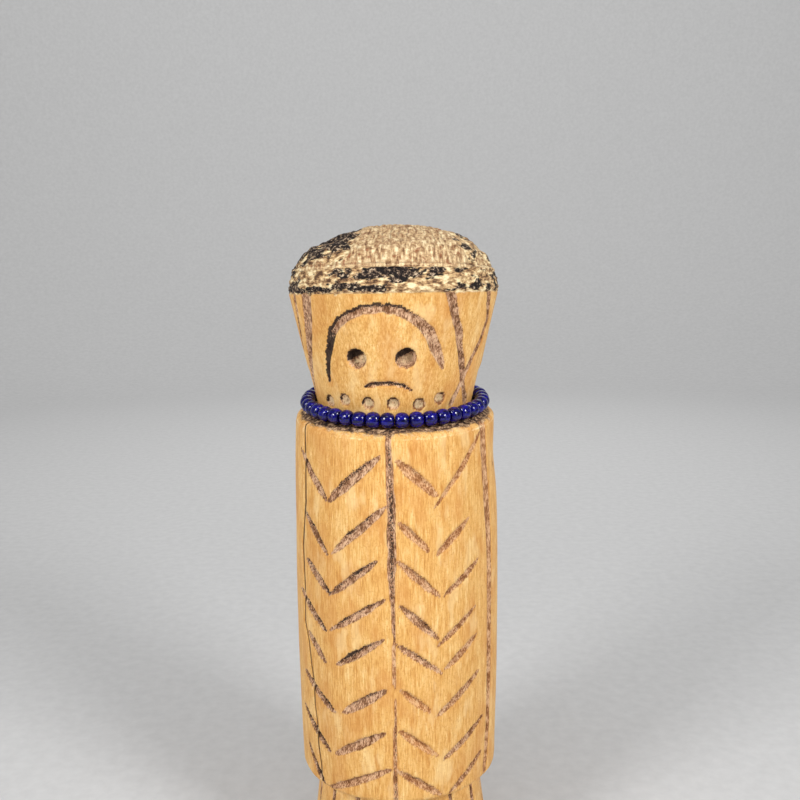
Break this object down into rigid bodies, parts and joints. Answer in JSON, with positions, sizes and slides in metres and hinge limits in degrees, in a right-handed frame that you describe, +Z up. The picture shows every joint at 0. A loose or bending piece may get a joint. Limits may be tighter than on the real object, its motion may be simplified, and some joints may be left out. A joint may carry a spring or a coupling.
{
  "type": "fertility doll",
  "caption": "Carved hardwood fertility doll: a flared head with an incised face, a round body with chevron panels, a flared foot and a glass bead necklace.",
  "frame": {"origin": "centre of the flat foot", "axes": "+Z up along the doll's axis, the face looks towards -Y"},
  "size_m": [0.0724, 0.0733, 0.235],
  "materials": {
    "wood": "hand-worked, dry and slightly worn",
    "thread": "twisted cotton",
    "glass_bead": "glossy opaque cobalt"
  },
  "bodies": {
    "figure": {"carved_figure": "wood"},
    "thread": {"necklace_thread": "thread"},
    "knot": {"necklace_knot": "thread"},
    "bead_01": {"bead_01": "glass_bead"},
    "bead_02": {"bead_02": "glass_bead"},
    "bead_03": {"bead_03": "glass_bead"},
    "bead_04": {"bead_04": "glass_bead"},
    "bead_05": {"bead_05": "glass_bead"},
    "bead_06": {"bead_06": "glass_bead"},
    "bead_07": {"bead_07": "glass_bead"},
    "bead_08": {"bead_08": "glass_bead"},
    "bead_09": {"bead_09": "glass_bead"},
    "bead_10": {"bead_10": "glass_bead"},
    "bead_11": {"bead_11": "glass_bead"},
    "bead_12": {"bead_12": "glass_bead"},
    "bead_13": {"bead_13": "glass_bead"},
    "bead_14": {"bead_14": "glass_bead"},
    "bead_15": {"bead_15": "glass_bead"},
    "bead_16": {"bead_16": "glass_bead"},
    "bead_17": {"bead_17": "glass_bead"},
    "bead_18": {"bead_18": "glass_bead"},
    "bead_19": {"bead_19": "glass_bead"},
    "bead_20": {"bead_20": "glass_bead"},
    "bead_21": {"bead_21": "glass_bead"},
    "bead_22": {"bead_22": "glass_bead"},
    "bead_23": {"bead_23": "glass_bead"},
    "bead_24": {"bead_24": "glass_bead"},
    "bead_25": {"bead_25": "glass_bead"},
    "bead_26": {"bead_26": "glass_bead"},
    "bead_27": {"bead_27": "glass_bead"},
    "bead_28": {"bead_28": "glass_bead"},
    "bead_29": {"bead_29": "glass_bead"},
    "bead_30": {"bead_30": "glass_bead"},
    "bead_31": {"bead_31": "glass_bead"},
    "bead_32": {"bead_32": "glass_bead"},
    "bead_33": {"bead_33": "glass_bead"},
    "bead_34": {"bead_34": "glass_bead"},
    "bead_35": {"bead_35": "glass_bead"},
    "bead_36": {"bead_36": "glass_bead"},
    "bead_37": {"bead_37": "glass_bead"},
    "bead_38": {"bead_38": "glass_bead"},
    "bead_39": {"bead_39": "glass_bead"},
    "bead_40": {"bead_40": "glass_bead"}
  },
  "joints": [
    {"name": "necklace_lift", "type": "slide", "parent": "figure", "child": "thread", "axis": [0, -0.068, 0.9977], "range_m": [0, 0.0028]},
    {"name": "necklace_turn", "type": "hinge", "parent": "thread", "child": "knot", "pos_m": [0, 0, 0.17405], "axis": [0, -0.068, 0.9977], "continuous": true},
    {"name": "bead_01_spin", "type": "hinge", "parent": "knot", "child": "bead_01", "pos_m": [-0.00509, 0.03031, 0.17612], "axis": [-0.9863, -0.1648, -0.0112], "continuous": true},
    {"name": "bead_02_spin", "type": "hinge", "parent": "knot", "child": "bead_02", "pos_m": [-0.00965, 0.02918, 0.17604], "axis": [-0.9497, -0.3125, -0.0213], "continuous": true},
    {"name": "bead_03_spin", "type": "hinge", "parent": "knot", "child": "bead_03", "pos_m": [-0.01398, 0.02738, 0.17592], "axis": [-0.8911, -0.4528, -0.0309], "continuous": true},
    {"name": "bead_04_spin", "type": "hinge", "parent": "knot", "child": "bead_04", "pos_m": [-0.01799, 0.02494, 0.17575], "axis": [-0.8117, -0.5827, -0.0397], "continuous": true},
    {"name": "bead_05_spin", "type": "hinge", "parent": "knot", "child": "bead_05", "pos_m": [-0.02158, 0.02192, 0.17554], "axis": [-0.7135, -0.699, -0.0477], "continuous": true},
    {"name": "bead_06_spin", "type": "hinge", "parent": "knot", "child": "bead_06", "pos_m": [-0.02467, 0.0184, 0.1753], "axis": [-0.5987, -0.7991, -0.0545], "continuous": true},
    {"name": "bead_07_spin", "type": "hinge", "parent": "knot", "child": "bead_07", "pos_m": [-0.02719, 0.01444, 0.17503], "axis": [-0.47, -0.8806, -0.06], "continuous": true},
    {"name": "bead_08_spin", "type": "hinge", "parent": "knot", "child": "bead_08", "pos_m": [-0.02907, 0.01015, 0.17474], "axis": [-0.3303, -0.9417, -0.0642], "continuous": true},
    {"name": "bead_09_spin", "type": "hinge", "parent": "knot", "child": "bead_09", "pos_m": [-0.03028, 0.00562, 0.17443], "axis": [-0.183, -0.9808, -0.0669], "continuous": true},
    {"name": "bead_10_spin", "type": "hinge", "parent": "knot", "child": "bead_10", "pos_m": [-0.03078, 0.00097, 0.17412], "axis": [-0.0315, -0.9972, -0.068], "continuous": true},
    {"name": "bead_11_spin", "type": "hinge", "parent": "knot", "child": "bead_11", "pos_m": [-0.03057, -0.00371, 0.1738], "axis": [0.1208, -0.9904, -0.0675], "continuous": true},
    {"name": "bead_12_spin", "type": "hinge", "parent": "knot", "child": "bead_12", "pos_m": [-0.02965, -0.00831, 0.17348], "axis": [0.2703, -0.9605, -0.0655], "continuous": true},
    {"name": "bead_13_spin", "type": "hinge", "parent": "knot", "child": "bead_13", "pos_m": [-0.02804, -0.01271, 0.17318], "axis": [0.4135, -0.9084, -0.0619], "continuous": true},
    {"name": "bead_14_spin", "type": "hinge", "parent": "knot", "child": "bead_14", "pos_m": [-0.02578, -0.01681, 0.1729], "axis": [0.5471, -0.8351, -0.0569], "continuous": true},
    {"name": "bead_15_spin", "type": "hinge", "parent": "knot", "child": "bead_15", "pos_m": [-0.02292, -0.02053, 0.17265], "axis": [0.668, -0.7424, -0.0506], "continuous": true},
    {"name": "bead_16_spin", "type": "hinge", "parent": "knot", "child": "bead_16", "pos_m": [-0.01953, -0.02376, 0.17243], "axis": [0.7733, -0.6325, -0.0431], "continuous": true},
    {"name": "bead_17_spin", "type": "hinge", "parent": "knot", "child": "bead_17", "pos_m": [-0.01568, -0.02645, 0.17225], "axis": [0.8607, -0.5079, -0.0346], "continuous": true},
    {"name": "bead_18_spin", "type": "hinge", "parent": "knot", "child": "bead_18", "pos_m": [-0.01147, -0.02852, 0.17211], "axis": [0.9281, -0.3714, -0.0253], "continuous": true},
    {"name": "bead_19_spin", "type": "hinge", "parent": "knot", "child": "bead_19", "pos_m": [-0.00699, -0.02993, 0.17201], "axis": [0.9739, -0.2264, -0.0154], "continuous": true},
    {"name": "bead_20_spin", "type": "hinge", "parent": "knot", "child": "bead_20", "pos_m": [-0.00235, -0.03064, 0.17196], "axis": [0.9971, -0.076, -0.0052], "continuous": true},
    {"name": "bead_21_spin", "type": "hinge", "parent": "knot", "child": "bead_21", "pos_m": [0.00235, -0.03064, 0.17196], "axis": [0.9971, 0.076, 0.0052], "continuous": true},
    {"name": "bead_22_spin", "type": "hinge", "parent": "knot", "child": "bead_22", "pos_m": [0.00699, -0.02993, 0.17201], "axis": [0.9739, 0.2264, 0.0154], "continuous": true},
    {"name": "bead_23_spin", "type": "hinge", "parent": "knot", "child": "bead_23", "pos_m": [0.01147, -0.02852, 0.17211], "axis": [0.9281, 0.3714, 0.0253], "continuous": true},
    {"name": "bead_24_spin", "type": "hinge", "parent": "knot", "child": "bead_24", "pos_m": [0.01568, -0.02645, 0.17225], "axis": [0.8607, 0.5079, 0.0346], "continuous": true},
    {"name": "bead_25_spin", "type": "hinge", "parent": "knot", "child": "bead_25", "pos_m": [0.01953, -0.02376, 0.17243], "axis": [0.7733, 0.6325, 0.0431], "continuous": true},
    {"name": "bead_26_spin", "type": "hinge", "parent": "knot", "child": "bead_26", "pos_m": [0.02292, -0.02053, 0.17265], "axis": [0.668, 0.7424, 0.0506], "continuous": true},
    {"name": "bead_27_spin", "type": "hinge", "parent": "knot", "child": "bead_27", "pos_m": [0.02578, -0.01681, 0.1729], "axis": [0.5471, 0.8351, 0.0569], "continuous": true},
    {"name": "bead_28_spin", "type": "hinge", "parent": "knot", "child": "bead_28", "pos_m": [0.02804, -0.01271, 0.17318], "axis": [0.4135, 0.9084, 0.0619], "continuous": true},
    {"name": "bead_29_spin", "type": "hinge", "parent": "knot", "child": "bead_29", "pos_m": [0.02965, -0.00831, 0.17348], "axis": [0.2703, 0.9605, 0.0655], "continuous": true},
    {"name": "bead_30_spin", "type": "hinge", "parent": "knot", "child": "bead_30", "pos_m": [0.03057, -0.00371, 0.1738], "axis": [0.1208, 0.9904, 0.0675], "continuous": true},
    {"name": "bead_31_spin", "type": "hinge", "parent": "knot", "child": "bead_31", "pos_m": [0.03078, 0.00097, 0.17412], "axis": [-0.0315, 0.9972, 0.068], "continuous": true},
    {"name": "bead_32_spin", "type": "hinge", "parent": "knot", "child": "bead_32", "pos_m": [0.03028, 0.00562, 0.17443], "axis": [-0.183, 0.9808, 0.0669], "continuous": true},
    {"name": "bead_33_spin", "type": "hinge", "parent": "knot", "child": "bead_33", "pos_m": [0.02907, 0.01015, 0.17474], "axis": [-0.3303, 0.9417, 0.0642], "continuous": true},
    {"name": "bead_34_spin", "type": "hinge", "parent": "knot", "child": "bead_34", "pos_m": [0.02719, 0.01444, 0.17503], "axis": [-0.47, 0.8806, 0.06], "continuous": true},
    {"name": "bead_35_spin", "type": "hinge", "parent": "knot", "child": "bead_35", "pos_m": [0.02467, 0.0184, 0.1753], "axis": [-0.5987, 0.7991, 0.0545], "continuous": true},
    {"name": "bead_36_spin", "type": "hinge", "parent": "knot", "child": "bead_36", "pos_m": [0.02158, 0.02192, 0.17554], "axis": [-0.7135, 0.699, 0.0477], "continuous": true},
    {"name": "bead_37_spin", "type": "hinge", "parent": "knot", "child": "bead_37", "pos_m": [0.01799, 0.02494, 0.17575], "axis": [-0.8117, 0.5827, 0.0397], "continuous": true},
    {"name": "bead_38_spin", "type": "hinge", "parent": "knot", "child": "bead_38", "pos_m": [0.01398, 0.02738, 0.17592], "axis": [-0.8911, 0.4528, 0.0309], "continuous": true},
    {"name": "bead_39_spin", "type": "hinge", "parent": "knot", "child": "bead_39", "pos_m": [0.00965, 0.02918, 0.17604], "axis": [-0.9497, 0.3125, 0.0213], "continuous": true},
    {"name": "bead_40_spin", "type": "hinge", "parent": "knot", "child": "bead_40", "pos_m": [0.00509, 0.03031, 0.17612], "axis": [-0.9863, 0.1648, 0.0112], "continuous": true}
  ]
}
